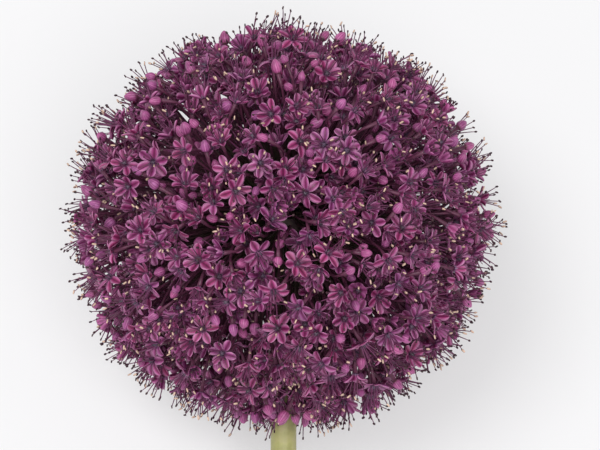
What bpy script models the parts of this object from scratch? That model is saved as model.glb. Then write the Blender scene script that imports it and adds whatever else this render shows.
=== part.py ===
"""An allium flower head on a short cut stem, lying on a table.

Hundreds of florets stand on stalks (pedicels) round the swollen top of one stem. The stalks
leave that top in small bunches, and each bunch with its florets is one object here.
Units are metres, +Z is up and the table is z = 0. The stem points to -Y and slopes down to its
cut end, and the florets under the head are pressed against the table.

The shapes are made in the head's own frame, in which the head's centre is the origin and the
stem runs down -Z, and laid_down() turns that frame to lie on the table.
"""

import functools
import math
import random

import bmesh
import bpy
import numpy as np
from mathutils import Matrix, Vector

# The stem and its swollen top, which is the centre of the head.
STEM_RADIUS = 0.0048
STEM_LENGTH = 0.190  # from the head's centre to the cut
CUT_ROUNDING = 0.0003
KNOB_RADIUS = 0.0100
NECK_LENGTH = 0.010  # where the stem widens into the knob
NECK_WIDENING = 1.25

# The head, measured to the middles of its outermost florets.
HEAD_RADIUS = 0.0745
HEAD_FLATTENING = 0.95  # its height along the stem over its width
TABLE_BELOW_CENTRE = 0.0758

# The florets.
FLORET_COUNT = 660
FLORET_SPACING = 0.0076
FLORET_DEPTHS = (0.0, 0.0130)  # of a floret's middle inside the head's surface
DEPTH_TRIES = 8
BUD_SHARE = 0.22
OPENING_SHARE = 0.06
STEM_CLEARANCE = 0.0115  # from the stem's axis to the nearest floret
SEED = 391

# One floret.
TEPALS = 6
TEPAL_LENGTH = 0.0057
TEPAL_RISE = 0.0009  # of a tepal's tip above the floret's middle
NOTCH_SHARE = 0.42  # the notch between two tepals lies at this share of their length
CUP_DEPTH = 0.0016
STAMEN_LENGTH = 0.0090
STAMEN_BUNDLE_RADIUS = 0.0009
BUD_RADIUS = 0.0019
BUD_LENGTH = 0.0046
OPENING_RADIUS = 0.0028
OPENING_LENGTH = 0.0060
CLEARANCE = 0.0002  # between two florets at one level, from each to half way
NEIGHBOURHOOD = 0.020
LEVEL_STEP = 0.0042  # florets this far apart in depth may reach over each other
PASSING_CLEARANCE = 0.0014  # from a tepal's tip to the axis of a floret that passes it

# The stalks, and the foot that joins each bunch of them.
CLUSTER_COUNT = 54
STALK_SIDES = 3
STALK_RADIUS = 0.00045
FOOT_SIDES = 6
FOOT_RADIUS = 0.0018
FOOT_THICKNESS = 0.0005
FOOT_SPREAD = 0.7  # the outermost stalk starts at this share of the foot's radius
SHORTEST_SIDE = 0.00005  # of the cells into which the stalks share out the foot
SEAT_GAP = 0.0003
LOWEST_FOOT_ANGLE = math.radians(50)  # both from the stem's axis
LOWEST_CLUSTER_ANGLE = math.radians(14)

STEM_SIDES = 24
KNOB_STEPS = 8
WELD_DISTANCE = 1e-6
SHARP_ANGLE = math.radians(40)

DOWN = Vector((0, 0, -1))
GOLDEN_ANGLE = math.pi * (3 - math.sqrt(5))

STEM_PAINT = ("stem", (0.46, 0.45, 0.15), 0.45)
FLORET_PAINT = ("tepals", (0.32, 0.07, 0.22), 0.55)


def clear_scene():
    for obj in list(bpy.data.objects):
        bpy.data.objects.remove(obj, do_unlink=True)


def material(name, colour, roughness):
    made = bpy.data.materials.new(name)
    made.use_nodes = True
    shader = made.node_tree.nodes["Principled BSDF"]
    shader.inputs["Base Color"].default_value = (*colour, 1)
    shader.inputs["Roughness"].default_value = roughness
    shader.inputs["Metallic"].default_value = 0
    return made


def lying_angle():
    """How far the stem slopes, so that the rim of its cut end meets the table."""
    reach = math.hypot(STEM_LENGTH, STEM_RADIUS)
    return math.asin(TABLE_BELOW_CENTRE / reach) - math.atan2(STEM_RADIUS, STEM_LENGTH)


def laid_down():
    """The head's frame on the table: the crown looks to +Y and a little up."""
    turned = Matrix.Rotation(lying_angle() - math.pi / 2, 4, "X")
    return Matrix.Translation((0, 0, TABLE_BELOW_CENTRE)) @ turned


def pressed(point, laid, lifted):
    """The point, or where the table stops it. lifted is the inverse of laid."""
    on_table = laid @ point
    if on_table.z >= 0:
        return point
    on_table.z = 0
    return lifted @ on_table


def any_direction(rng):
    height = rng.uniform(-1, 1)
    turn = rng.uniform(0, 2 * math.pi)
    out = math.sqrt(1 - height * height)
    return np.array((out * math.cos(turn), out * math.sin(turn), height))


def on_head(direction, depth):
    return direction * (1, 1, HEAD_FLATTENING) * (HEAD_RADIUS - depth)


def distance_to_nearest(point, others):
    return np.linalg.norm(others - point, axis=1).min()


def scatter_middles(rng):
    """Where the florets' middles are: at random, apart on the surface and at unlike depths."""
    spots = np.zeros((FLORET_COUNT, 3))
    spots[0] = on_head(np.array((0, 0, 1)), 0)
    middles = spots.copy()
    count = 1
    while count < FLORET_COUNT:
        direction = any_direction(rng)
        spot = on_head(direction, 0)
        by_the_stem = spot[2] < 0 and math.hypot(spot[0], spot[1]) < STEM_CLEARANCE
        if by_the_stem or distance_to_nearest(spot, spots[:count]) < FLORET_SPACING:
            continue
        tries = [on_head(direction, rng.uniform(*FLORET_DEPTHS)) for _ in range(DEPTH_TRIES)]
        middles[count] = max(tries, key=lambda point: distance_to_nearest(point, middles[:count]))
        spots[count] = spot
        count += 1
    return middles


def room_for(middle, out, others):
    """How far a floret's tepals can reach, past its neighbours and the stem."""
    away = others - middle
    away = away[np.linalg.norm(away, axis=1) < NEIGHBOURHOOD]
    depths = away @ out
    aside = np.linalg.norm(away - depths[:, None] * out, axis=1)
    half_way = np.linalg.norm(away, axis=1) / 2 - CLEARANCE
    rooms = np.where(np.abs(depths) > LEVEL_STEP, aside - PASSING_CLEARANCE, half_way)
    if middle[2] < 0:
        to_stem = math.hypot(middle[0], middle[1]) - STEM_RADIUS - CLEARANCE
        return min(rooms.min(), to_stem)
    return rooms.min()


def make_florets():
    """Each floret's middle, the way it looks, its kind and the room it has."""
    rng = random.Random(SEED)
    middles = scatter_middles(rng)
    florets = []
    for i, middle in enumerate(middles):
        draw = rng.random()
        kind = "bloom"
        if draw < BUD_SHARE:
            kind = "bud"
        elif draw < BUD_SHARE + OPENING_SHARE:
            kind = "opening"
        out = middle / np.linalg.norm(middle)
        room = room_for(middle, out, np.delete(middles, i, axis=0))
        florets.append({"middle": Vector(middle), "out": Vector(out), "kind": kind, "room": room})
    return florets


def spiral_directions(count):
    """count directions spread evenly over a sphere, from the crown down to the stem."""
    found = []
    for i in range(count):
        height = 1 - (2 * i + 1) / count
        out = math.sqrt(1 - height * height)
        turn = GOLDEN_ANGLE * i
        found.append(Vector((out * math.cos(turn), out * math.sin(turn), height)))
    return found


def clusters_of(florets):
    """The florets in bunches, each by the nearest of the spiral's directions."""
    directions = spiral_directions(CLUSTER_COUNT)
    bunches = [[] for _ in directions]
    for floret in florets:
        near = max(range(len(directions)), key=lambda i: directions[i].dot(floret["out"]))
        bunches[near].append(floret)
    return bunches


def foot_direction(axis):
    """Where a bunch with this axis leaves the knob: the lowest bunches are kept off the stem."""
    share = (axis.angle(DOWN) - LOWEST_CLUSTER_ANGLE) / (math.pi - LOWEST_CLUSTER_ANGLE)
    wanted = LOWEST_FOOT_ANGLE + max(0.0, share) * (math.pi - LOWEST_FOOT_ANGLE)
    sideways = (axis - DOWN * axis.dot(DOWN)).normalized()
    return DOWN * math.cos(wanted) + sideways * math.sin(wanted)


def square_to(axis):
    """Two unit vectors across an axis, right-handed with it."""
    across = axis.orthogonal().normalized()
    return across, axis.cross(across)


def ring(middle, axes, radii):
    """The points of a closed ring, one for each radius."""
    points = []
    for i, radius in enumerate(radii):
        angle = 2 * math.pi * i / len(radii)
        points.append(middle + (axes[0] * math.cos(angle) + axes[1] * math.sin(angle)) * radius)
    return points


def join_loop(bm, loop, end, axes):
    """Faces from a loop of any size to a stalk's end, whose first corner looks along axes[0].

    Each side of the loop goes to the corner of the end that looks its way.
    """
    middle = sum((vertex.co for vertex in loop), Vector()) / len(loop)
    sides = list(zip(loop, loop[1:] + loop[:1]))
    facing = []
    for a, b in sides:
        outward = (a.co + b.co) / 2 - middle
        bearing = math.atan2(outward.dot(axes[1]), outward.dot(axes[0]))
        facing.append(round(bearing * len(end) / (2 * math.pi)) % len(end))
    for (a, b), corner, following in zip(sides, facing, facing[1:] + facing[:1]):
        bm.faces.new((a, b, end[corner]))
        while corner != following:
            beside = (corner + 1) % len(end)
            bm.faces.new((b, end[beside], end[corner]))
            corner = beside


def join_unequal(bm, few, many):
    """Faces between two rings, of which one has a whole multiple of the other's vertices."""
    share = len(many) // len(few)
    for i, corner in enumerate(few):
        first = i * share - share // 2
        run = [many[(first + k) % len(many)] for k in range(share + 1)]
        for a, b in zip(run, run[1:]):
            bm.faces.new((corner, b, a))
        bm.faces.new((corner, few[(i + 1) % len(few)], run[-1]))


def cap(bm, edge, tip):
    for a, b in zip(edge, edge[1:] + edge[:1]):
        bm.faces.new((a, b, tip))


def add_bloom(bm, floret, stalk_end, axes, place):
    """Six spread tepals and the bundle of stamens and style that stands in their middle."""
    middle, out = floret["middle"], floret["out"]
    reach = math.sqrt(min(TEPAL_LENGTH, floret["room"]) ** 2 - TEPAL_RISE**2)
    points = ring(middle, axes, [reach, reach * NOTCH_SHARE] * TEPALS)
    points[::2] = [tip + out * TEPAL_RISE for tip in points[::2]]
    rim = [bm.verts.new(place(point)) for point in points]
    bundle = ring(middle, axes, [STAMEN_BUNDLE_RADIUS] * STALK_SIDES)
    inner = [bm.verts.new(place(point)) for point in bundle]
    join_unequal(bm, stalk_end, rim)
    join_unequal(bm, inner, rim)
    cap(bm, inner, bm.verts.new(place(middle + out * STAMEN_LENGTH)))


def add_bud(bm, floret, stalk_end, axes, place):
    """A closed or half-open bud: widest in its middle, with a short point."""
    opening = floret["kind"] == "opening"
    radius = OPENING_RADIUS if opening else BUD_RADIUS
    length = OPENING_LENGTH if opening else BUD_LENGTH
    points = ring(floret["middle"], axes, [radius] * TEPALS)
    widest = [bm.verts.new(place(point)) for point in points]
    join_unequal(bm, stalk_end, widest)
    cap(bm, widest, bm.verts.new(place(floret["middle"] + floret["out"] * length / 2)))


def add_floret(bm, floret, base, foot_axes, place):
    """The stalk from its loop on the foot, and what it carries.

    The first corner of the stalk's end looks along the foot's first axis, so it has no twist.
    """
    out = floret["out"]
    first = (foot_axes[0] - out * foot_axes[0].dot(out)).normalized()
    axes = (first, out.cross(first))
    end = ring(floret["middle"] - out * CUP_DEPTH, axes, [STALK_RADIUS] * STALK_SIDES)
    stalk_end = [bm.verts.new(point) for point in end]
    join_loop(bm, base, stalk_end, foot_axes)
    add = add_bloom if floret["kind"] == "bloom" else add_bud
    add(bm, floret, stalk_end, axes, place)


def nearer_part(cell, spot, other):
    """What is left of a cell when all that lies nearer to the other spot is cut away."""
    apart = other - spot
    limit = (other.length_squared - spot.length_squared) / 2
    left = []
    for a, b in zip(cell, cell[1:] + cell[:1]):
        over_a = a.dot(apart) - limit
        over_b = b.dot(apart) - limit
        if over_a <= 0:
            left.append(a)
        if over_a * over_b < 0:
            left.append(a.lerp(b, over_a / (over_a - over_b)))
    return left


def share_out_foot(spots):
    """The foot seen from above: its corners, the loop of each spot's own cell, and its rim."""
    turns = [2 * math.pi * i / FOOT_SIDES for i in range(FOOT_SIDES)]
    outline = [Vector((math.cos(turn), math.sin(turn))) * FOOT_RADIUS for turn in turns]
    corners = []
    loops = []
    for spot in spots:
        cell = outline
        for other in spots:
            if other is not spot:
                cell = nearer_part(cell, spot, other)
        loop = []
        for point in cell:
            same = [i for i, known in enumerate(corners) if (known - point).length < SHORTEST_SIDE]
            if not same:
                same = [len(corners)]
                corners.append(point)
            if same[0] not in loop:
                loop.append(same[0])
        loops.append(loop)
    steps = [step for loop in loops for step in zip(loop, loop[1:] + loop[:1])]
    onward = {a: b for a, b in steps if (b, a) not in steps}
    rim = [min(onward)]
    while onward[rim[-1]] != rim[0]:
        rim.append(onward[rim[-1]])
    return corners, loops, rim


def make_cluster(name, bunch, paint, place):
    """One bunch: a low foot on the knob, shared out between the stalks that grow from it.

    The stalks stand on the foot in the order in which they spread, so that none crosses another.
    """
    mean = sum((floret["out"] for floret in bunch), Vector()).normalized()
    foot_axis = foot_direction(mean)
    foot_axes = square_to(foot_axis)
    seat = foot_axis * (KNOB_RADIUS + SEAT_GAP)
    slopes = []
    for floret in bunch:
        away = floret["middle"] - seat
        slope = Vector([away.dot(axis) for axis in foot_axes]) / away.dot(foot_axis)
        slopes.append(slope)
    centre = sum(slopes, Vector((0, 0))) / len(slopes)
    widest = max((slope - centre).length for slope in slopes)
    spots = [(slope - centre) * (FOOT_SPREAD * FOOT_RADIUS / widest) for slope in slopes]
    corners, loops, rim = share_out_foot(spots)
    bm = bmesh.new()
    points = []
    for i, corner in enumerate(corners):
        height = 0 if i in rim else FOOT_THICKNESS
        offset = foot_axes[0] * corner.x + foot_axes[1] * corner.y + foot_axis * height
        points.append(bm.verts.new(seat + offset))
    bm.faces.new([points[i] for i in rim[::-1]])
    for floret, loop in zip(bunch, loops):
        add_floret(bm, floret, [points[i] for i in loop], foot_axes, place)
    return finish(name, bm, paint)


def make_stem(paint):
    """The stem from its cut end, through the neck, to the round knob that carries the stalks."""
    meets_knob = math.asin(STEM_RADIUS * NECK_WIDENING / KNOB_RADIUS)
    neck_base = -KNOB_RADIUS * math.cos(meets_knob) - NECK_LENGTH
    profile = [
        (0.0, -STEM_LENGTH),
        (STEM_RADIUS - CUT_ROUNDING, -STEM_LENGTH),
        (STEM_RADIUS, -STEM_LENGTH + CUT_ROUNDING),
        (STEM_RADIUS, neck_base),
    ]
    for step in range(KNOB_STEPS):
        angle = meets_knob + (math.pi - meets_knob) * step / KNOB_STEPS
        profile.append((KNOB_RADIUS * math.sin(angle), -KNOB_RADIUS * math.cos(angle)))
    profile.append((0.0, KNOB_RADIUS))
    bm = bmesh.new()
    points = [bm.verts.new((radius, 0, height)) for radius, height in profile]
    edges = [bm.edges.new(pair) for pair in zip(points, points[1:])]
    bmesh.ops.spin(
        bm, geom=points + edges, axis=(0, 0, 1), cent=(0, 0, 0), steps=STEM_SIDES, angle=2 * math.pi
    )
    bmesh.ops.remove_doubles(bm, verts=bm.verts[:], dist=WELD_DISTANCE)
    stem = finish("stem", bm, paint)
    stem.data.shade_smooth()
    stem.data.set_sharp_from_angle(angle=SHARP_ANGLE)
    return stem


def finish(name, bm, paint):
    bmesh.ops.recalc_face_normals(bm, faces=bm.faces[:])
    mesh = bpy.data.meshes.new(name)
    bm.to_mesh(mesh)
    bm.free()
    mesh.materials.append(paint)
    obj = bpy.data.objects.new(name, mesh)
    bpy.context.scene.collection.objects.link(obj)
    return obj


def stand_on_origin(pieces, laid):
    """Lays the pieces down under one empty, with the middle of their footprint on the origin."""
    corners = [laid @ vertex.co for piece in pieces for vertex in piece.data.vertices]
    middle_x = (min(c.x for c in corners) + max(c.x for c in corners)) / 2
    middle_y = (min(c.y for c in corners) + max(c.y for c in corners)) / 2
    head = bpy.data.objects.new("flower_head", None)
    bpy.context.scene.collection.objects.link(head)
    head.matrix_world = Matrix.Translation((-middle_x, -middle_y, 0)) @ laid
    for piece in pieces:
        piece.parent = head


def main():
    clear_scene()
    laid = laid_down()
    place = functools.partial(pressed, laid=laid, lifted=laid.inverted())
    pieces = [make_stem(material(*STEM_PAINT))]
    paint = material(*FLORET_PAINT)
    for number, bunch in enumerate(clusters_of(make_florets()), 1):
        pieces.append(make_cluster(f"floret_cluster_{number:02d}", bunch, paint, place))
    stand_on_origin(pieces, laid)


main()
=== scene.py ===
"""The looks of an allium flower head that lies on a table.

Every floret is made here as it grows: six tepals, six stamens with their anthers, a three-lobed
ovary with its style, and the stalk that carries it. The florets stand where the CAD nodes have
them, and the finished pieces of each bunch ride in place of that bunch's node. Units are metres.
"""

import math
import random

import bpy
import numpy as np
from mathutils import Matrix, Vector


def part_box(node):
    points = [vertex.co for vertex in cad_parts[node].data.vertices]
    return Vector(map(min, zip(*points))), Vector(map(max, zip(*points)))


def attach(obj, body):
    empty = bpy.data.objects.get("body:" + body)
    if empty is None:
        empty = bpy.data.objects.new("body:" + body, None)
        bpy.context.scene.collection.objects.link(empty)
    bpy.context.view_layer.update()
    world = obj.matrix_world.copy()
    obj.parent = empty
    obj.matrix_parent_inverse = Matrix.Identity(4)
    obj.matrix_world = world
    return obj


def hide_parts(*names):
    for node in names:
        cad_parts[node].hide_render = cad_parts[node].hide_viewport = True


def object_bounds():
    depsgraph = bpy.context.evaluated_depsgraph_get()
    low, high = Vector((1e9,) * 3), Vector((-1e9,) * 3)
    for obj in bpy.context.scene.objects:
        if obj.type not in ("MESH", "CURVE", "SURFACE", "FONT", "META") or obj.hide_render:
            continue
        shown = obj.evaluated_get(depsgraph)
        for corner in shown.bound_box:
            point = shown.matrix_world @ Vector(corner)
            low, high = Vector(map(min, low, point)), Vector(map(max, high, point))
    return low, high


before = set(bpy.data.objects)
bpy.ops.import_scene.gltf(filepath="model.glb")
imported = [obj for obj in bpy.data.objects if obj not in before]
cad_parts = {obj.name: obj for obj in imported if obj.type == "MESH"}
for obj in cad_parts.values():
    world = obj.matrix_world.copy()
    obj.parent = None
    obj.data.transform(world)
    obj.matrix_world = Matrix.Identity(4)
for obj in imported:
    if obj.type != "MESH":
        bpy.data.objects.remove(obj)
CAD_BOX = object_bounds()

# The stem, its swollen top and the head, as the CAD nodes have them.
STEM_RADIUS = 0.0048
STEM_LENGTH = 0.190  # from the head's centre to the cut
CUT_ROUNDING = 0.0003
KNOB_RADIUS = 0.0100
NECK_LENGTH = 0.010
NECK_WIDENING = 1.25
HEAD_RADIUS = 0.0745
HEAD_FLATTENING = 0.95
TABLE_BELOW_CENTRE = 0.0758

# The outer florets' places, as the CAD nodes have them.
FLORET_COUNT = 660
FLORET_SPACING = 0.0076
FLORET_DEPTHS = (0.0, 0.0130)
DEPTH_TRIES = 8
BUD_SHARE = 0.22
OPENING_SHARE = 0.06
STEM_CLEARANCE = 0.0115
CLUSTER_COUNT = 54
FOOT_RADIUS = 0.0018
LOWEST_FOOT_ANGLE = math.radians(50)
LOWEST_CLUSTER_ANGLE = math.radians(14)
SEED = 391

# Younger florets and buds on shorter stalks, between the others.
INNER_COUNT = 860
INNER_DEPTH = 0.027
INNER_THINNING = 1.8  # more than 1 sets more of them near the surface than deep down
INNER_SPACING = 0.0050
INNER_BUD_SHARE = 0.36
INNER_STEM_CLEARANCE = 0.013

# Florets that hang close round the stem.
LOW_COUNT = 64
LOW_TRIES = 6000  # places tried at most, to find room for them
LOW_REACH = (0.0086, 0.0240)  # from the stem's axis
LOW_DEPTHS = (0.0, 0.010)
LOW_SPACING = 0.0046
LOW_BUD_SHARE = 0.55
ONLY_BUDS_REACH = 0.0115  # all that hang closer to the stem's axis are buds
LOWEST_BUNCHES_BELOW = -0.72  # the bunches whose directions point down further than this

# What every floret differs in.
FLORET_TILT = math.radians(45)
BUD_TILT = math.radians(48)
OUTER_SCALES = (0.95, 1.05)
INNER_SCALES = (0.80, 0.96)

# The tepals of an open floret. Angles are in radians, and a spread goes either way.
TEPALS = 6
TEPAL_LENGTH = (0.0051, 0.0060)
TEPAL_OWN_LENGTHS = (0.92, 1.04)
INNER_TEPAL_SHARE = 0.95  # of the outer three's length
TEPAL_HALF_WIDTH = 0.00158
TEPAL_WIDTHS = (0.92, 1.08)
TEPAL_THICKNESS = 0.00016
TEPAL_ROOT = 0.0005  # from the floret's axis
TEPAL_ROOT_DROP = 0.0003
TEPAL_CHANNEL = 0.50  # of the half width
TEPAL_TIP = 0.012  # of the length, past the last ring
TEPAL_LIFT = (math.radians(-6), math.radians(46))
TEPAL_LIFT_SPREAD = 0.26
TEPAL_TURN_SPREAD = 0.13
FLORET_CURL = (-0.7, 0.5)
TEPAL_CURL_SPREAD = 0.35
TEPAL_WAVE = 0.35
OWN_TINT_SHARE = 0.35  # of a tepal's tint that it doesn't share with its floret

# A tepal's rings along its length, and their corners: five over the top and three under it.
TEPAL_STATIONS = np.array((0.0, 0.10, 0.24, 0.40, 0.56, 0.71, 0.84, 0.93, 0.985))
TEPAL_ACROSS = np.array((-1.0, -0.55, 0.0, 0.55, 1.0, 0.5, 0.0, -0.5))
TEPAL_UNDERSIDE = np.array((0, 0, 0, 0, 0, 1, 1, 1))
TOP_MIDDLE, UNDER_MIDDLE = 2, 6  # the corners on the midrib
BROADEST = 0.55  # of the length

# Stamens.
FILAMENT_LENGTH = (0.0083, 0.0098)
FILAMENT_LEAN = (math.radians(9), math.radians(28))
FILAMENT_TURN_SPREAD = 0.16
FILAMENT_RADII = (0.00040, 0.00031, 0.00025, 0.00021, 0.00019, 0.00017, 0.00013)
FILAMENT_SIDES = 4
FILAMENT_BEND = 27.0  # the most, either way, in radians per metre of filament
FILAMENT_ROOT = 0.00085  # from the floret's axis
FILAMENT_ROOT_DROP = 0.0001
ANTHER_SIZE = (0.00185, 0.00088, 0.00072)
ANTHER_SIZES = (0.85, 1.12)
ANTHER_NOD = (0.1, 1.1)
ANTHER_SIDES = 8
RIPE_SHARE = 0.24  # of the anthers that have opened and show their pollen
RIPE_TINTS = (0.0, 0.2)
SHUT_TINTS = (0.94, 1.0)
SHUT_ANTHER = 0.68  # length of one that is still shut, in lengths of an open one

# Ovary and style.
OVARY_RADIUS = 0.00092
OVARY_RADII = (0.9, 1.1)
OVARY_HEIGHT = 0.0016
OVARY_SIDES = 12
OVARY_LOBES = 3
OVARY_LOBE_DEPTH = 0.13
STYLE_LENGTH = (0.0030, 0.0052)
STYLE_RADII = (0.00018, 0.00013, 0.00011, 0.00013)
STYLE_LEAN = 0.12

# Buds and half-open florets.
BUD_LENGTH = (0.0042, 0.0054)
BUD_RADIUS = (0.00155, 0.00200)
BUD_SIDES = 18
BUD_LOBE_DEPTH = 0.045
OPENING_LENGTH = 0.0054
OPENING_LENGTHS = (0.95, 1.05)
OPENING_LIFT = (math.radians(60) - 0.22, math.radians(60) + 0.12)
OPENING_LIFT_SPREAD = 0.08
OPENING_TURN_SPREAD = 0.05
OPENING_CURL = 0.35
OPENING_STAMENS = (0.62, 0.5)  # their length and lean, in those of an open floret

# Stalks.
STALK_RADIUS = 0.00043
STALK_SWELLING = (1.25, 1.1, 1.0, 0.95, 0.9, 0.9, 0.92, 0.98, 1.15, 2.0)
STALK_SIDES = 6
STALK_SINK = 0.0008  # below the knob's skin
STALK_PLACES = (0.25, 1.0)  # on the foot, from its middle to its rim
STALK_STRAYING = 0.0016
STALK_TURNING = 0.004  # pulls its first direction from straight out towards the floret
STALK_PULLS = (0.34, 0.30)  # of its reach, at the knob and at the floret
BLOOM_DROP = 0.0005  # from an open floret's middle to the end of its stalk

# The table.
TABLE_CLEARANCE = 0.0007
PRESSED_SLOPE = 0.15  # what an anther on the table keeps of its slope
NEVER_UPRIGHT = (1e-6, 0, 0)  # tips over an anther that would stand straight up on the table
PRESSING_HEIGHT = 0.0015  # what hangs lower than this is squeezed towards the table

# The stem's surface.
STEM_SIDES = 72
STEM_RINGS = 40
NECK_RINGS = (0.3, 0.6, 0.85)  # of the neck's length
KNOB_RINGS = 16
KNOB_CROWN = 0.2  # radians from the last ring to the crown
CUT_RINGS = (0.25, 0.55, 0.8, 0.93)  # of the stem's radius
CUT_EDGE = 0.001  # from the cut to the side's first ring
RIBS = 18
RIB_DEPTH = 0.012
RIB_WANDER = 3.0
RIB_WAVES = 21.0  # radians per metre

MAP_MARGIN = 0.04  # round each surface's square of the map
RELIEF_DEPTH = 0.0001
VEIN_WAVES = 34.0  # radians from a tepal's midrib to its margin

# The studio. The camera looks at a spot beside the head's centre.
VIEW_WIDTH = 0.2218
CAMERA_DISTANCE = 1.25
SENSOR = 36.0
AIM_RIGHT = 0.0061
AIM_UP = 0.0001
FLOOR_REACH = 6.0
FLOOR_COLOUR = (0.54, 0.54, 0.55, 1)
FLOOR_GLOW = 0.385
AMBIENT_LIGHT = 0.455
WALL_BRIGHTNESS = 0.63  # as the far floor
KEY_PLACE, KEY_SIZE, KEY_POWER = (-0.70, -0.10, 2.3), 1.1, 21
FILL_PLACE, FILL_SIZE, FILL_POWER = (0.35, -1.0, 2.3), 1.5, 23

GOLDEN_ANGLE = math.pi * (3 - math.sqrt(5))
DOWN = np.array((0.0, 0.0, -1.0))

# Which finishes are gathered into one piece of each bunch.
PIECES_OF_A_BUNCH = {
    "tepals": ("tepals", "buds"),
    "stamens": ("filaments", "anthers", "ovaries"),
    "stalks": ("pedicels",),
}


def unit(vector):
    return vector / np.linalg.norm(vector)


def spread(rng, most):
    return rng.uniform(-most, most)


# ---------------------------------------------------------------- places of the florets


def lying_angle():
    """How far the stem slopes, so that the rim of its cut end meets the table."""
    reach = math.hypot(STEM_LENGTH, STEM_RADIUS)
    return math.asin(TABLE_BELOW_CENTRE / reach) - math.atan2(STEM_RADIUS, STEM_LENGTH)


def head_frame():
    """The head's own frame, with the stem down its -Z, where the CAD stem lies."""
    low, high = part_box("stem")
    slope = lying_angle()
    cut_reach = STEM_LENGTH * math.cos(slope) + (STEM_RADIUS - CUT_ROUNDING) * math.sin(slope)
    centre = ((low[0] + high[0]) / 2, low[1] + cut_reach, TABLE_BELOW_CENTRE)
    return Matrix.Translation(centre) @ Matrix.Rotation(slope - math.pi / 2, 4, "X")


def any_direction(rng):
    height = rng.uniform(-1, 1)
    turn = rng.uniform(0, 2 * math.pi)
    out = math.sqrt(1 - height * height)
    return np.array((out * math.cos(turn), out * math.sin(turn), height))


def on_head(direction, depth):
    return direction * (1, 1, HEAD_FLATTENING) * (HEAD_RADIUS - depth)


def distance_to_nearest(point, others):
    return np.linalg.norm(others - point, axis=1).min()


def by_the_stem(point, clearance):
    return point[2] < 0 and math.hypot(point[0], point[1]) < clearance


def scatter_middles(rng):
    """Where the outer florets' middles are: apart on the surface and at unlike depths."""
    spots = np.zeros((FLORET_COUNT, 3))
    spots[0] = on_head(np.array((0, 0, 1)), 0)
    middles = spots.copy()
    count = 1
    while count < FLORET_COUNT:
        direction = any_direction(rng)
        spot = on_head(direction, 0)
        if by_the_stem(spot, STEM_CLEARANCE):
            continue
        if distance_to_nearest(spot, spots[:count]) < FLORET_SPACING:
            continue
        tries = [on_head(direction, rng.uniform(*FLORET_DEPTHS)) for _ in range(DEPTH_TRIES)]
        middles[count] = max(tries, key=lambda point: distance_to_nearest(point, middles[:count]))
        spots[count] = spot
        count += 1
    return middles


def new_floret(middle, layer, kind_draw, bud_share):
    """A floret by its middle. kind_draw, from 0 to 1, makes it a bud, half-open or a bloom."""
    if kind_draw < bud_share:
        kind = "bud"
    elif kind_draw < bud_share + OPENING_SHARE:
        kind = "opening"
    else:
        kind = "bloom"
    return {"middle": middle, "out": unit(middle), "layer": layer, "kind": kind}


def outer_florets():
    rng = random.Random(SEED)
    middles = scatter_middles(rng)
    return [new_floret(middle, "outer", rng.random(), BUD_SHARE) for middle in middles]


def low_florets(others):
    """Florets that hang close round the stem, where they find room between the others."""
    rng = random.Random(SEED + 2)
    middles = np.array([floret["middle"] for floret in others])
    florets = []
    for _ in range(LOW_TRIES):
        reach = rng.uniform(*LOW_REACH)
        turn = rng.uniform(0, 2 * math.pi)
        lean = reach / HEAD_RADIUS
        height = -math.sqrt(1 - lean * lean)
        direction = np.array((lean * math.cos(turn), lean * math.sin(turn), height))
        middle = on_head(direction, rng.uniform(*LOW_DEPTHS))
        if distance_to_nearest(middle, middles) < LOW_SPACING:
            continue
        middles = np.vstack((middles, middle))
        bud_share = LOW_BUD_SHARE if reach > ONLY_BUDS_REACH else 1.0
        florets.append(new_floret(middle, "low", rng.random(), bud_share))
        if len(florets) == LOW_COUNT:
            break
    return florets


def inner_florets(others):
    """Florets on shorter stalks, between the outer ones' stalks."""
    rng = random.Random(SEED + 1)
    middles = np.array([floret["middle"] for floret in others])
    florets = []
    while len(florets) < INNER_COUNT:
        middle = on_head(any_direction(rng), INNER_DEPTH * rng.random() ** INNER_THINNING)
        if by_the_stem(middle, INNER_STEM_CLEARANCE):
            continue
        if distance_to_nearest(middle, middles) < INNER_SPACING:
            continue
        middles = np.vstack((middles, middle))
        florets.append(new_floret(middle, "inner", rng.random(), INNER_BUD_SHARE))
    return florets


def spiral_directions(count):
    """count directions spread evenly over a sphere, from the crown down to the stem."""
    numbers = np.arange(count)
    heights = 1 - (2 * numbers + 1) / count
    outs = np.sqrt(1 - heights * heights)
    turns = GOLDEN_ANGLE * numbers
    return np.stack((outs * np.cos(turns), outs * np.sin(turns), heights), axis=1)


def bunches_of(florets):
    """The florets in bunches, each by the nearest of the spiral's directions.

    A floret that hangs by the stem goes to the low bunch on its own side of the stem.
    """
    directions = spiral_directions(CLUSTER_COUNT)
    level = directions * (1, 1, 0)
    level /= np.linalg.norm(level, axis=1)[:, None]
    level[directions[:, 2] > LOWEST_BUNCHES_BELOW] = 0
    bunches = [[] for _ in directions]
    for floret in florets:
        nearness = (level if floret["layer"] == "low" else directions) @ floret["out"]
        bunches[int(np.argmax(nearness))].append(floret)
    return bunches


def foot_direction(axis):
    """Where a bunch with this axis leaves the knob: the lowest bunches are kept off the stem."""
    angle = math.acos(axis @ DOWN)
    share = (angle - LOWEST_CLUSTER_ANGLE) / (math.pi - LOWEST_CLUSTER_ANGLE)
    wanted = LOWEST_FOOT_ANGLE + max(0.0, share) * (math.pi - LOWEST_FOOT_ANGLE)
    sideways = unit(axis - DOWN * (axis @ DOWN))
    return DOWN * math.cos(wanted) + sideways * math.sin(wanted)


# ---------------------------------------------------------------- closed surfaces from rings


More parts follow.
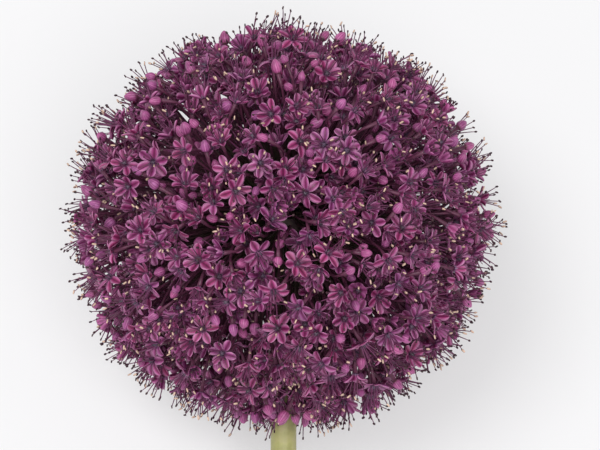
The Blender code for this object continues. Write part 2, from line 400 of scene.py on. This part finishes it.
class Surfaces:
    """Closed surfaces that become one piece. Each is a run of rings with a pole at both ends."""

    def __init__(self):
        self.points = []
        self.point_count = 0
        self.faces = []
        self.face_places = []
        self.face_surfaces = []
        self.face_finishes = []
        self.surface_count = 0
        self.marks = {"along": [], "across": [], "tone": []}

    def add(self, rings, finish, tone, across=0.0, along=None, poles=None, pole_across=(0.0, 0.0)):
        """rings is rings x sides x 3, turning right-handed about the way they run.

        along has a value for each ring and across one for each side, or a column of one for
        each ring. They and tone are marks that the finishes read.
        """
        number, sides = rings.shape[:2]
        first, last = (rings[0].mean(axis=0), rings[-1].mean(axis=0)) if poles is None else poles
        self.points.append(np.vstack((first, rings.reshape(-1, 3), last)))
        along = np.linspace(0, 1, number) if along is None else np.asarray(along)
        across = np.broadcast_to(across, (number, sides)).ravel()
        self.marks["along"].append(np.concatenate((along[:1], np.repeat(along, sides), along[-1:])))
        self.marks["across"].append(np.concatenate((pole_across[:1], across, pole_across[1:])))
        self.marks["tone"].append(np.full(number * sides + 2, tone))
        self.add_faces(number, sides)
        new_faces = sides * (number + 1)
        self.face_surfaces.extend([self.surface_count] * new_faces)
        self.face_finishes.extend([finish] * new_faces)
        self.point_count += number * sides + 2
        self.surface_count += 1

    def add_faces(self, number, sides):
        """The faces of the newest surface, with their places in its square of the map."""
        start = self.point_count
        last = start + number * sides + 1
        rows = number + 1

        def corner(ring, side):
            return start + 1 + ring * sides + side % sides

        for side in range(sides):
            left, right, middle = side / sides, (side + 1) / sides, (side + 0.5) / sides
            self.faces.append((start, corner(0, side + 1), corner(0, side)))
            self.face_places.append(((middle, 0), (right, 1 / rows), (left, 1 / rows)))
            for ring in range(number - 1):
                low, high = (ring + 1) / rows, (ring + 2) / rows
                near = (corner(ring, side), corner(ring, side + 1))
                far = (corner(ring + 1, side + 1), corner(ring + 1, side))
                self.faces.append(near + far)
                self.face_places.append(((left, low), (right, low), (right, high), (left, high)))
            self.faces.append((last, corner(number - 1, side), corner(number - 1, side + 1)))
            self.face_places.append(((middle, 1), (left, 1 - 1 / rows), (right, 1 - 1 / rows)))

    def press(self):
        """Squeezes what hangs lowest towards the table, so that nothing reaches below it."""
        for points in self.points:
            low = points[:, 2] < PRESSING_HEIGHT
            points[low, 2] = PRESSING_HEIGHT * np.exp(points[low, 2] / PRESSING_HEIGHT - 1)

    def unwrapped(self):
        """Each surface's own square of the map, all squares in a grid."""
        columns = math.ceil(math.sqrt(self.surface_count))
        size = 1 - 2 * MAP_MARGIN
        flat = []
        for surface, places in zip(self.face_surfaces, self.face_places):
            column, row = surface % columns, surface // columns
            for u, v in places:
                flat.append((column + MAP_MARGIN + u * size) / columns)
                flat.append((row + MAP_MARGIN + v * size) / columns)
        return flat

    def make_piece(self, name, finishes):
        """One piece of all the surfaces, with the finishes as its material slots."""
        mesh = bpy.data.meshes.new(name)
        mesh.from_pydata(np.vstack(self.points).tolist(), [], self.faces)
        for finish in finishes:
            mesh.materials.append(MATERIALS[finish])
        indices = [finishes.index(finish) for finish in self.face_finishes]
        mesh.polygons.foreach_set("material_index", indices)
        for mark, values in self.marks.items():
            layer = mesh.attributes.new(mark, "FLOAT", "POINT")
            layer.data.foreach_set("value", np.concatenate(values).astype(np.float32))
        mesh.uv_layers.new(name="OFBake").data.foreach_set("uv", self.unwrapped())
        mesh.shade_smooth()
        made = bpy.data.objects.new(name, mesh)
        bpy.context.scene.collection.objects.link(made)
        return made


def square_to(axis):
    """Two unit vectors across an axis, right-handed with it."""
    helper = np.array((1.0, 0.0, 0.0)) if abs(axis[0]) < 0.7 else np.array((0.0, 1.0, 0.0))
    across = unit(np.cross(axis, helper))
    return across, np.cross(axis, across)


def angles_of(sides):
    return np.arange(sides) * 2 * math.pi / sides


def tube(path, radii, sides):
    """Rings round a path. The first ring's corner keeps its side along the whole path."""
    path = np.asarray(path)
    tangents = np.gradient(path, axis=0)
    tangents /= np.linalg.norm(tangents, axis=1)[:, None]
    side = square_to(unit(path[-1] - path[0]))[0]
    first = side - tangents * (tangents @ side)[:, None]
    first /= np.linalg.norm(first, axis=1)[:, None]
    second = np.cross(tangents, first)
    angles = angles_of(sides)[None, :, None]
    spokes = first[:, None] * np.cos(angles) + second[:, None] * np.sin(angles)
    return path[:, None] + spokes * np.asarray(radii)[:, None, None]


def lathe(floret, heights, radii, sides, lobes, lobe_depth):
    """Rings round a floret's axis from its middle, with shallow lobes."""
    a, b, out = floret["axes"]
    angles = angles_of(sides)
    swell = 1 + lobe_depth * np.cos(lobes * (angles - floret["turn"]))
    spokes = a * np.cos(angles)[:, None] + b * np.sin(angles)[:, None]
    spokes = spokes * swell[:, None]
    rise = out * np.asarray(heights)[:, None]
    return floret["middle"] + rise[:, None] + spokes[None] * np.asarray(radii)[:, None, None]


def curve(start, start_pull, end_pull, end, steps):
    """Points along a cubic curve."""
    t = np.linspace(0, 1, steps)[:, None]
    s = 1 - t
    return s**3 * start + 3 * s**2 * t * start_pull + 3 * s * t**2 * end_pull + t**3 * end


def bent_over_table(start, direction, length, steps, bend):
    """A filament's or style's path and last direction. It turns aside where it meets the table."""
    path = [start]
    step = length / steps
    for _ in range(steps):
        direction = unit(direction + bend * step)
        if path[-1][2] + direction[2] * step < TABLE_CLEARANCE:
            level = np.array((direction[0], direction[1], 0.0))
            drop = min(0.0, (TABLE_CLEARANCE - path[-1][2]) / step)
            direction = unit(level) * math.sqrt(1 - drop * drop) - DOWN * drop
        path.append(path[-1] + direction * step)
    return np.array(path), direction


# ---------------------------------------------------------------- organs of a floret


def tepal_widths(stations):
    """Narrow at the root, broadest past the middle, with a blunt tip."""
    to_broadest = np.minimum(stations / BROADEST, 1)
    from_broadest = np.maximum(stations - BROADEST, 0) / (1 - BROADEST)
    widening = 0.27 + 0.73 * np.sin(to_broadest * math.pi / 2) ** 1.25
    return widening * np.sqrt(np.maximum(1 - from_broadest**2.3, 0))


def tepal_tint(floret, angle):
    """Mostly the floret's tint, with a share of its own that the tepal's angle picks."""
    own = 0.5 + 0.5 * math.sin(97 * angle + 31 * floret["tone"])
    return (1 - OWN_TINT_SHARE) * floret["tone"] + OWN_TINT_SHARE * own


def add_tepal(surfaces, finish, floret, angle, length, lift, curl, wave):
    """One tepal, channelled along its midrib. lift is its slope at the root and curl at the tip."""
    middle, (a, b, out) = floret["middle"], floret["axes"]
    away = a * math.cos(angle) + b * math.sin(angle)
    sideways = np.cross(out, away)
    slope = lift + curl * TEPAL_STATIONS**2
    steps = np.diff(TEPAL_STATIONS, prepend=0) * length
    reach = TEPAL_ROOT + np.cumsum(steps * np.cos(slope))
    height = np.cumsum(steps * np.sin(slope)) - TEPAL_ROOT_DROP
    half = (tepal_widths(TEPAL_STATIONS) * floret["width"])[:, None]
    stations = TEPAL_STATIONS[:, None]
    channel = TEPAL_CHANNEL * np.abs(TEPAL_ACROSS) ** 1.6 * half
    ripple = wave * half * TEPAL_ACROSS * stations
    thickness = TEPAL_THICKNESS * (1.25 - 0.5 * stations) * TEPAL_UNDERSIDE
    y = half * TEPAL_ACROSS
    z = height[:, None] + channel + ripple - thickness
    rings = middle + away * reach[:, None, None] + sideways * y[..., None] + out * z[..., None]
    root = (rings[0, TOP_MIDDLE] + rings[0, UNDER_MIDDLE]) / 2
    tip = (rings[-1, TOP_MIDDLE] + rings[-1, UNDER_MIDDLE]) / 2 + away * length * TEPAL_TIP
    tint = tepal_tint(floret, angle)
    # The corners run left-handed, so they are taken backwards.
    surfaces.add(rings[:, ::-1], finish, tint, TEPAL_ACROSS[::-1], TEPAL_STATIONS, (root, tip))


def add_anther(surfaces, middle, stalk_way, size, tint, rng):
    """A two-lobed anther, nodding a little on the filament's tip."""
    a, b = square_to(stalk_way)
    spin = rng.uniform(0, 2 * math.pi)
    aside = a * math.cos(spin) + b * math.sin(spin)
    way = unit(aside * rng.uniform(*ANTHER_NOD) + stalk_way)
    length, width, thickness = size
    if middle[2] < TABLE_CLEARANCE + length / 2:
        way = unit(way * (1, 1, PRESSED_SLOPE) + NEVER_UPRIGHT)
    u, v = square_to(way)
    flat = np.cos(angles_of(ANTHER_SIDES))
    thick = np.sin(angles_of(ANTHER_SIDES)) * (0.62 + 0.62 * np.abs(flat))
    section = u * (flat * width / 2)[:, None] + v * (thick * thickness / 2)[:, None]
    heights = np.array((-0.44, -0.22, 0.22, 0.44)) * length
    swell = np.array((0.62, 1.0, 1.0, 0.62))
    rings = middle + way * heights[:, None, None] + section[None] * swell[:, None, None]
    poles = (middle - way * length / 2, middle + way * length / 2)
    surfaces.add(rings, "anthers", tint, 0.2 + 0.25 * np.abs(flat), poles=poles)


def add_stamens(surfaces, floret, rng, length_share=1.0, lean_share=1.0):
    middle, (a, b, out) = floret["middle"], floret["axes"]
    for i in range(TEPALS):
        angle = floret["turn"] + math.pi * i / 3 + spread(rng, FILAMENT_TURN_SPREAD)
        away = a * math.cos(angle) + b * math.sin(angle)
        lean = rng.uniform(*FILAMENT_LEAN) * lean_share
        length = rng.uniform(*FILAMENT_LENGTH) * length_share * floret["scale"]
        start = middle + away * FILAMENT_ROOT - out * FILAMENT_ROOT_DROP
        direction = out * math.cos(lean) + away * math.sin(lean)
        bend = (away * spread(rng, 1) + np.cross(out, away) * spread(rng, 1)) * FILAMENT_BEND
        path, way = bent_over_table(start, direction, length, len(FILAMENT_RADII) - 1, bend)
        surfaces.add(tube(path, FILAMENT_RADII, FILAMENT_SIDES), "filaments", floret["tone"])
        size = [part * rng.uniform(*ANTHER_SIZES) for part in ANTHER_SIZE]
        ripe = rng.random() < RIPE_SHARE
        if not ripe:
            size[0] *= SHUT_ANTHER
        tint = rng.uniform(*(RIPE_TINTS if ripe else SHUT_TINTS))
        add_anther(surfaces, path[-1], way, size, tint, rng)


def add_pistil(surfaces, floret, rng):
    """The three-lobed ovary and the style on it."""
    middle, (a, b, out) = floret["middle"], floret["axes"]
    radius = OVARY_RADIUS * rng.uniform(*OVARY_RADII)
    heights = np.array((0.0, 0.18, 0.42, 0.68, 0.88, 0.98)) * OVARY_HEIGHT
    radii = np.array((0.62, 0.92, 1.0, 0.86, 0.52, 0.22)) * radius
    rings = lathe(floret, heights, radii, OVARY_SIDES, OVARY_LOBES, OVARY_LOBE_DEPTH)
    lobes = np.cos(OVARY_LOBES * angles_of(OVARY_SIDES))
    surfaces.add(rings, "ovaries", floret["tone"], lobes)
    length = rng.uniform(*STYLE_LENGTH) * floret["scale"]
    direction = unit(out + a * spread(rng, STYLE_LEAN) + b * spread(rng, STYLE_LEAN))
    start = middle + out * OVARY_HEIGHT * 0.9
    steps = len(STYLE_RADII) - 1
    path, _ = bent_over_table(start, direction, length, steps, np.zeros(3))
    surfaces.add(tube(path, STYLE_RADII, FILAMENT_SIDES), "filaments", floret["tone"])


def add_bloom(surfaces, floret, rng):
    """An open floret, with its six tepals spread into a star."""
    lift = rng.uniform(*TEPAL_LIFT)
    shared_curl = rng.uniform(*FLORET_CURL)
    for i in range(TEPALS):
        angle = floret["turn"] + math.pi * i / 3 + spread(rng, TEPAL_TURN_SPREAD)
        length = floret["reach"] * (1.0 if i % 2 else INNER_TEPAL_SHARE)
        length *= rng.uniform(*TEPAL_OWN_LENGTHS)
        own_lift = lift + spread(rng, TEPAL_LIFT_SPREAD)
        curl = shared_curl + spread(rng, TEPAL_CURL_SPREAD)
        wave = spread(rng, TEPAL_WAVE)
        add_tepal(surfaces["tepals"], "tepals", floret, angle, length, own_lift, curl, wave)
    add_stamens(surfaces["stamens"], floret, rng)
    add_pistil(surfaces["stamens"], floret, rng)


def add_opening(surfaces, floret, rng):
    """A floret whose tepals still stand up round its stamens."""
    lift = rng.uniform(*OPENING_LIFT)
    for i in range(TEPALS):
        angle = floret["turn"] + math.pi * i / 3 + spread(rng, OPENING_TURN_SPREAD)
        length = OPENING_LENGTH * floret["scale"] * rng.uniform(*OPENING_LENGTHS)
        own_lift = lift + spread(rng, OPENING_LIFT_SPREAD)
        add_tepal(surfaces["tepals"], "buds", floret, angle, length, own_lift, OPENING_CURL, 0.0)
    add_stamens(surfaces["stamens"], floret, rng, *OPENING_STAMENS)
    add_pistil(surfaces["stamens"], floret, rng)


def add_bud(surfaces, floret, rng):
    """A closed bud: six tepals wrapped to a short point."""
    length = rng.uniform(*BUD_LENGTH) * floret["scale"]
    radius = rng.uniform(*BUD_RADIUS) * floret["scale"]
    heights = np.array((0.0, 0.06, 0.18, 0.34, 0.52, 0.68, 0.82, 0.92, 0.975)) * length
    radii = np.array((0.34, 0.62, 0.88, 1.0, 0.97, 0.82, 0.58, 0.34, 0.15)) * radius
    rings = lathe(floret, heights, radii, BUD_SIDES, TEPALS, BUD_LOBE_DEPTH)
    surfaces["tepals"].add(rings, "buds", floret["tone"], np.cos(TEPALS * angles_of(BUD_SIDES)))


def add_stalk(surfaces, floret, foot, centre, rng):
    """The pedicel, from inside the knob's skin to a small cup under the floret."""
    a, b, out = floret["axes"]
    foot_way = unit(foot)
    middle = floret["middle"] - centre
    aside = unit(middle - foot_way * foot_way.dot(middle))
    place = aside * FOOT_RADIUS * rng.uniform(*STALK_PLACES)
    root = foot_way * (KNOB_RADIUS - STALK_SINK) + place
    start = centre + root
    end = floret["middle"] - out * (BLOOM_DROP if floret["kind"] == "bloom" else 0.0)
    reach = np.linalg.norm(end - start)
    way = unit(root + unit(end - start) * STALK_TURNING)
    stray = spread(rng, STALK_STRAYING) * a + spread(rng, STALK_STRAYING) * b
    start_pull = start + way * reach * STALK_PULLS[0]
    end_pull = end - out * reach * STALK_PULLS[1] + stray
    path = curve(start, start_pull, end_pull, end, len(STALK_SWELLING))
    radii = np.array(STALK_SWELLING) * STALK_RADIUS
    surfaces["stalks"].add(tube(path, radii, STALK_SIDES), "pedicels", floret["tone"])


ADD = {"bloom": add_bloom, "opening": add_opening, "bud": add_bud}


def grow(floret, surfaces, foot, centre, rng):
    """Gives a floret its own tilt, turn, size and tint, and makes it and its stalk."""
    a, b = square_to(floret["out"])
    towards = rng.uniform(0, 2 * math.pi)
    furthest = BUD_TILT if floret["kind"] == "bud" else FLORET_TILT
    tilt = math.tan(furthest) * math.sqrt(rng.random())
    out = unit(floret["out"] + (a * math.cos(towards) + b * math.sin(towards)) * tilt)
    scale = rng.uniform(*(INNER_SCALES if floret["layer"] == "inner" else OUTER_SCALES))
    floret["axes"] = (*square_to(out), out)
    floret["scale"] = scale
    floret["turn"] = rng.uniform(0, math.pi / 3)
    floret["reach"] = rng.uniform(*TEPAL_LENGTH) * scale
    floret["width"] = TEPAL_HALF_WIDTH * rng.uniform(*TEPAL_WIDTHS) * scale
    floret["tone"] = rng.random()
    ADD[floret["kind"]](surfaces, floret, rng)
    add_stalk(surfaces, floret, foot, centre, rng)


def make_bunch(number, bunch, placed):
    """The pieces of one bunch of florets, in place of its CAD node."""
    rng = random.Random(SEED * 100 + number)
    turn = np.array(placed.to_3x3())
    centre = np.array(placed.translation)
    mean = unit(sum(floret["out"] for floret in bunch if floret["layer"] != "inner"))
    foot = turn @ foot_direction(mean)
    surfaces = {piece: Surfaces() for piece in PIECES_OF_A_BUNCH}
    for floret in bunch:
        floret["middle"] = turn @ floret["middle"] + centre
        floret["out"] = turn @ floret["out"]
        grow(floret, surfaces, foot, centre, rng)
    for piece, finishes in PIECES_OF_A_BUNCH.items():
        surfaces[piece].press()
        made = surfaces[piece].make_piece(f"{piece}_{number:02d}", finishes)
        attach(made, "root")
        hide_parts(f"floret_cluster_{number:02d}")


# ---------------------------------------------------------------- stem


def stem_profile():
    """Heights, radii and cut marks, from the middle of the cut end to the knob's crown."""
    meets_knob = math.asin(STEM_RADIUS * NECK_WIDENING / KNOB_RADIUS)
    neck_top = -KNOB_RADIUS * math.cos(meets_knob)
    profile = [(-STEM_LENGTH, STEM_RADIUS * share, 1.0) for share in CUT_RINGS]
    profile.append((-STEM_LENGTH + CUT_ROUNDING, STEM_RADIUS, 0.5))
    for height in np.linspace(-STEM_LENGTH + CUT_EDGE, neck_top - NECK_LENGTH, STEM_RINGS):
        profile.append((height, STEM_RADIUS, 0.0))
    for share in NECK_RINGS:
        width = STEM_RADIUS * (1 + (NECK_WIDENING - 1) * share**1.5)
        profile.append((neck_top - NECK_LENGTH * (1 - share), width, 0.0))
    for angle in np.linspace(meets_knob, math.pi - KNOB_CROWN, KNOB_RINGS):
        profile.append((-KNOB_RADIUS * math.cos(angle), KNOB_RADIUS * math.sin(angle), 0.0))
    return np.array(profile)


def make_stem(placed):
    """The ribbed stem with its cut end and the knob that carries the stalks."""
    heights, radii, cut = stem_profile().T[..., None]
    angles = angles_of(STEM_SIDES)
    wander = RIB_WANDER * np.sin(heights * RIB_WAVES)
    ribs = 1 - RIB_DEPTH * (0.5 - 0.5 * np.cos(RIBS * angles + wander))
    x, y = radii * ribs * np.cos(angles), radii * ribs * np.sin(angles)
    rings = np.stack((x, y, np.broadcast_to(heights, x.shape)), axis=-1)
    rings = rings @ np.array(placed.to_3x3()).T + np.array(placed.translation)
    along = np.minimum(1.0, (heights[:, 0] + STEM_LENGTH) / STEM_LENGTH)
    surfaces = Surfaces()
    surfaces.add(rings, "stem", 0.5, cut, along, pole_across=(1.0, 0.0))
    made = surfaces.make_piece("stem_and_knob", ("stem",))
    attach(made, "root")
    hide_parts("stem")


# ---------------------------------------------------------------- finishes


def add_node(tree, kind, inputs=None, **settings):
    """A node with its settings, and its inputs linked or set by name or number."""
    node = tree.nodes.new(kind)
    for key, value in settings.items():
        setattr(node, key, value)
    for key, value in (inputs or {}).items():
        if isinstance(value, bpy.types.NodeSocket):
            tree.links.new(value, node.inputs[key])
        else:
            node.inputs[key].default_value = value
    return node


def mix_colours(tree, factor, first, second):
    inputs = {0: factor, 6: first, 7: second}
    return add_node(tree, "ShaderNodeMix", inputs, data_type="RGBA").outputs[2]


def between(tree, value, low, high, to_low=0.0, to_high=1.0):
    """A value mapped smoothly from one range to another."""
    inputs = {"Value": value, "From Min": low, "From Max": high, "To Min": to_low, "To Max": to_high}
    node = add_node(tree, "ShaderNodeMapRange", inputs, interpolation_type="SMOOTHSTEP")
    return node.outputs["Result"]


def calculate(tree, operation, *values):
    inputs = dict(enumerate(values))
    return add_node(tree, "ShaderNodeMath", inputs, operation=operation).outputs[0]


def new_group(name, numbers, colours):
    """A node group that turns numbers and colours into a colour, a height and a roughness."""
    group = bpy.data.node_groups.new(name, "ShaderNodeTree")
    for label in numbers:
        group.interface.new_socket(label, in_out="INPUT", socket_type="NodeSocketFloat")
    for label in colours:
        group.interface.new_socket(label, in_out="INPUT", socket_type="NodeSocketColor")
    group.interface.new_socket("Color", in_out="OUTPUT", socket_type="NodeSocketColor")
    group.interface.new_socket("Height", in_out="OUTPUT", socket_type="NodeSocketFloat")
    group.interface.new_socket("Roughness", in_out="OUTPUT", socket_type="NodeSocketFloat")
    return group, group.nodes.new("NodeGroupInput").outputs


def put_out(group, colour, height, roughness):
    outputs = {"Color": colour, "Height": height, "Roughness": roughness}
    add_node(group, "NodeGroupOutput", outputs)


def petal_pattern():
    """The colours of a floret's organs: a tint, and a tepal's midrib, veins and pale margins. The
    pale margins are partly the tepal's own paler edge and partly a painted highlight.
    """
    numbers = ("Along", "Across", "Tone")
    colours = ("Reddish", "Violet", "Midrib", "Margin", "Root")
    group, given = new_group("petal_pattern", numbers, colours)
    side = calculate(group, "ABSOLUTE", given["Across"])
    place = add_node(group, "ShaderNodeTexCoord").outputs["Object"]
    noise = add_node(group, "ShaderNodeTexNoise", {"Vector": place, "Scale": 420.0, "Detail": 3.0})
    blotches = noise.outputs["Fac"]
    body = mix_colours(group, given["Tone"], given["Reddish"], given["Violet"])
    # Paler towards the edges: partly the tepal's own paler margin, partly a painted highlight along
    # its raised, lit edges.
    edge = calculate(group, "MULTIPLY", between(group, side, 0.30, 0.95), 0.80)
    body = mix_colours(group, edge, body, given["Margin"])
    rib = calculate(group, "MULTIPLY", between(group, side, 0.42, 0.02), 0.85)
    body = mix_colours(group, rib, body, given["Midrib"])
    root = between(group, given["Along"], 0.30, 0.0)
    body = mix_colours(group, root, body, given["Root"])
    veins = calculate(group, "SINE", calculate(group, "MULTIPLY", side, VEIN_WAVES))
    dappled = between(group, blotches, 0.3, 0.7, 0.72, 1.18)
    streaked = calculate(group, "MULTIPLY_ADD", veins, 0.06, dappled)
    shade = add_node(group, "ShaderNodeHueSaturation", {"Value": streaked, "Color": body})
    relief = calculate(group, "ADD", calculate(group, "MULTIPLY", veins, 0.25), blotches)
    put_out(group, shade.outputs["Color"], relief, between(group, blotches, 0.25, 0.75, 0.34, 0.52))
    return group


def green_growth():
    """Stem and stalk colour: from one colour to another along it, with streaks and a tint.

    Where Across is high it is cut flesh, with the ends of the strands that run up a stem.
    """
    numbers = ("Along", "Across", "Tone", "Change At", "Scale")
    colours = ("Lower", "Upper", "Flush", "Cut")
    group, given = new_group("green_growth", numbers, colours)
    place = add_node(group, "ShaderNodeTexCoord").outputs["Object"]
    inputs = {"Vector": place, "Scale": given["Scale"], "Detail": 4.0}
    fine = add_node(group, "ShaderNodeTexNoise", inputs).outputs["Fac"]
    inputs = {"Vector": place, "Scale": 60.0, "Detail": 2.0}
    broad = add_node(group, "ShaderNodeTexNoise", inputs).outputs["Fac"]
    shifted = calculate(group, "ADD", given["Along"], calculate(group, "MULTIPLY", broad, 0.3))
    start = calculate(group, "SUBTRACT", given["Change At"], 0.10)
    end = calculate(group, "ADD", given["Change At"], 0.25)
    inputs = {"Value": shifted, "From Min": start, "From Max": end}
    change = add_node(group, "ShaderNodeMapRange", inputs).outputs["Result"]
    # Lower and Upper carry painted shade as well as the plant's own colours: the stem's Upper
    # darkens its neck and knob, and the stalks' colours are darkened for the shaded inside of the
    # head.
    body = mix_colours(group, change, given["Lower"], given["Upper"])
    flush = calculate(group, "MULTIPLY", between(group, fine, 0.45, 0.75), given["Tone"])
    body = mix_colours(group, flush, body, given["Flush"])
    strands = add_node(group, "ShaderNodeTexVoronoi", {"Vector": place, "Scale": 1300.0})
    strand = between(group, strands.outputs["Distance"], 0.16, 0.32, 0.55, 0.0)
    flesh = mix_colours(group, strand, given["Cut"], given["Lower"])
    body = mix_colours(group, between(group, given["Across"], 0.4, 0.9), body, flesh)
    streaks = between(group, fine, 0.3, 0.7, 0.82, 1.12)
    shade = add_node(group, "ShaderNodeHueSaturation", {"Value": streaks, "Color": body})
    put_out(group, shade.outputs["Color"], fine, between(group, broad, 0.3, 0.7, 0.38, 0.55))
    return group


PETAL_PATTERN = petal_pattern()
GREEN_GROWTH = green_growth()


def finish(name, group, gloss, relief=0.0, **values):
    """A material whose colour, roughness and relief come from a group fed by the mesh's marks.

    values are the group's own inputs. gloss is the specular level.
    """
    material = bpy.data.materials.new(name)
    material.use_nodes = True
    tree = material.node_tree
    shader = tree.nodes["Principled BSDF"]
    pattern = add_node(tree, "ShaderNodeGroup", node_tree=group)
    for mark in ("Along", "Across", "Tone"):
        attribute = add_node(tree, "ShaderNodeAttribute", attribute_name=mark.lower())
        tree.links.new(attribute.outputs["Fac"], pattern.inputs[mark])
    for label, value in values.items():
        value = (*value, 1.0) if isinstance(value, tuple) else value
        pattern.inputs[label.replace("_", " ").title()].default_value = value
    tree.links.new(pattern.outputs["Color"], shader.inputs["Base Color"])
    tree.links.new(pattern.outputs["Roughness"], shader.inputs["Roughness"])
    shader.inputs["Specular IOR Level"].default_value = gloss
    if relief:
        inputs = {"Height": pattern.outputs["Height"], "Strength": relief, "Distance": RELIEF_DEPTH}
        bump = add_node(tree, "ShaderNodeBump", inputs)
        tree.links.new(bump.outputs["Normal"], shader.inputs["Normal"])
    return material


MATERIALS = {
    "tepals": finish(
        "tepals",
        PETAL_PATTERN,
        gloss=0.5,
        relief=0.35,
        reddish=(0.43, 0.040, 0.178),
        violet=(0.27, 0.048, 0.215),
        midrib=(0.120, 0.010, 0.052),
        # The pale margin is partly the tepals' own paler edge and partly a painted highlight on
        # their raised edges.
        margin=(0.66, 0.280, 0.505),
        root=(0.17, 0.08, 0.17),
    ),
    "buds": finish(
        "buds",
        PETAL_PATTERN,
        gloss=0.5,
        relief=0.3,
        reddish=(0.50, 0.100, 0.290),
        violet=(0.38, 0.095, 0.310),
        midrib=(0.24, 0.035, 0.130),
        margin=(0.58, 0.190, 0.400),
        root=(0.13, 0.06, 0.06),
    ),
    "filaments": finish(
        "filaments",
        PETAL_PATTERN,
        gloss=0.3,
        reddish=(0.20, 0.050, 0.120),
        violet=(0.175, 0.055, 0.145),
        midrib=(0.17, 0.042, 0.110),
        margin=(0.20, 0.055, 0.135),
        root=(0.32, 0.19, 0.31),
    ),
    # Reddish is the pollen of an open anther, and violet is the skin of a shut one.
    "anthers": finish(
        "anthers",
        PETAL_PATTERN,
        gloss=0.2,
        reddish=(0.90, 0.64, 0.49),
        violet=(0.038, 0.012, 0.027),
        midrib=(0.100, 0.030, 0.040),
        margin=(0.060, 0.025, 0.040),
        root=(0.050, 0.018, 0.028),
    ),
    "ovaries": finish(
        "ovaries",
        PETAL_PATTERN,
        gloss=0.45,
        reddish=(0.080, 0.050, 0.070),
        violet=(0.130, 0.085, 0.150),
        midrib=(0.035, 0.022, 0.035),
        margin=(0.150, 0.110, 0.150),
        root=(0.10, 0.06, 0.08),
    ),
    "pedicels": finish(
        "pedicels",
        GREEN_GROWTH,
        gloss=0.4,
        # The stalks' own green, flushed purple towards the floret, darkened as painted shade for the
        # shaded inside of the head.
        lower=(0.080, 0.075, 0.045),
        upper=(0.125, 0.031, 0.070),
        flush=(0.165, 0.042, 0.090),
        cut=(0.30, 0.32, 0.16),
        change_at=0.55,
        scale=700.0,
    ),
    "stem": finish(
        "stem",
        GREEN_GROWTH,
        gloss=0.45,
        relief=0.25,
        lower=(0.46, 0.45, 0.175),
        upper=(0.120, 0.070, 0.080),
        # Partly the stem's own purplish grey near the head, partly painted shade: it darkens the
        # neck and knob, which lie in the head's shade.
        flush=(0.33, 0.27, 0.18),
        cut=(0.62, 0.66, 0.40),
        change_at=0.82,
        scale=260.0,
    ),
}


# ---------------------------------------------------------------- stage, lights and camera


def make_floor(height):
    """A pale floor with a faint glow of its own, which keeps the shadows light."""
    square = ((-1, -1), (1, -1), (1, 1), (-1, 1))
    corners = [(x * FLOOR_REACH, y * FLOOR_REACH, height) for x, y in square]
    mesh = bpy.data.meshes.new("floor")
    mesh.from_pydata(corners, [], [(0, 1, 2, 3)])
    paper = bpy.data.materials.new("floor_paper")
    paper.use_nodes = True
    shader = paper.node_tree.nodes["Principled BSDF"]
    shader.inputs["Base Color"].default_value = FLOOR_COLOUR
    shader.inputs["Emission Color"].default_value = (1, 1, 1, 1)
    shader.inputs["Emission Strength"].default_value = FLOOR_GLOW
    shader.inputs["Roughness"].default_value = 0.9
    shader.inputs["Specular IOR Level"].default_value = 0.1
    mesh.materials.append(paper)
    floor = bpy.data.objects.new("floor", mesh)
    bpy.context.scene.collection.objects.link(floor)


def make_light(name, place, target, size, power):
    lamp = bpy.data.lights.new(name, "AREA")
    lamp.shape = "DISK"
    lamp.size = size
    lamp.energy = power
    light = bpy.data.objects.new(name, lamp)
    light.location = place
    light.rotation_euler = (target - Vector(place)).to_track_quat("-Z", "Y").to_euler()
    light.visible_camera = False
    bpy.context.scene.collection.objects.link(light)


def make_world():
    """Even light from all round. What shows above the floor is a wall as pale as the far floor."""
    world = bpy.data.worlds.new("studio")
    world.use_nodes = True
    tree = world.node_tree
    seen = add_node(tree, "ShaderNodeLightPath").outputs["Is Camera Ray"]
    mixed = add_node(tree, "ShaderNodeMixShader", {0: seen})
    for socket, strength in ((1, AMBIENT_LIGHT), (2, WALL_BRIGHTNESS)):
        light = add_node(tree, "ShaderNodeBackground", {"Color": (1, 1, 1, 1), "Strength": strength})
        tree.links.new(light.outputs[0], mixed.inputs[socket])
    tree.links.new(mixed.outputs[0], tree.nodes["World Output"].inputs["Surface"])
    bpy.context.scene.world = world


def make_camera(placed):
    """Looks down on the head at right angles to the stem, with the head above its stem."""
    turn = placed.to_3x3()
    back = turn @ Vector((0, -1, 0))
    up = turn @ Vector((0, 0, 1))
    right = up.cross(back)
    lens = bpy.data.cameras.new("camera")
    lens.sensor_width = SENSOR
    lens.lens = SENSOR * CAMERA_DISTANCE / VIEW_WIDTH
    lens.clip_end = 50
    camera = bpy.data.objects.new("camera", lens)
    aim = placed.translation + right * AIM_RIGHT + up * AIM_UP
    pose = Matrix((right, up, back)).transposed().to_4x4()
    pose.translation = aim + back * CAMERA_DISTANCE
    camera.matrix_world = pose
    bpy.context.scene.collection.objects.link(camera)
    bpy.context.scene.camera = camera


def main():
    placed = head_frame()
    make_stem(placed)
    florets = outer_florets()
    florets += low_florets(florets)
    florets += inner_florets(florets)
    for number, bunch in enumerate(bunches_of(florets), 1):
        make_bunch(number, bunch, placed)
    make_floor(CAD_BOX[0][2])
    make_world()
    make_light("key", KEY_PLACE, placed.translation, KEY_SIZE, KEY_POWER)
    make_light("fill", FILL_PLACE, placed.translation, FILL_SIZE, FILL_POWER)
    make_camera(placed)
    bpy.context.scene.view_settings.view_transform = "Standard"


main()
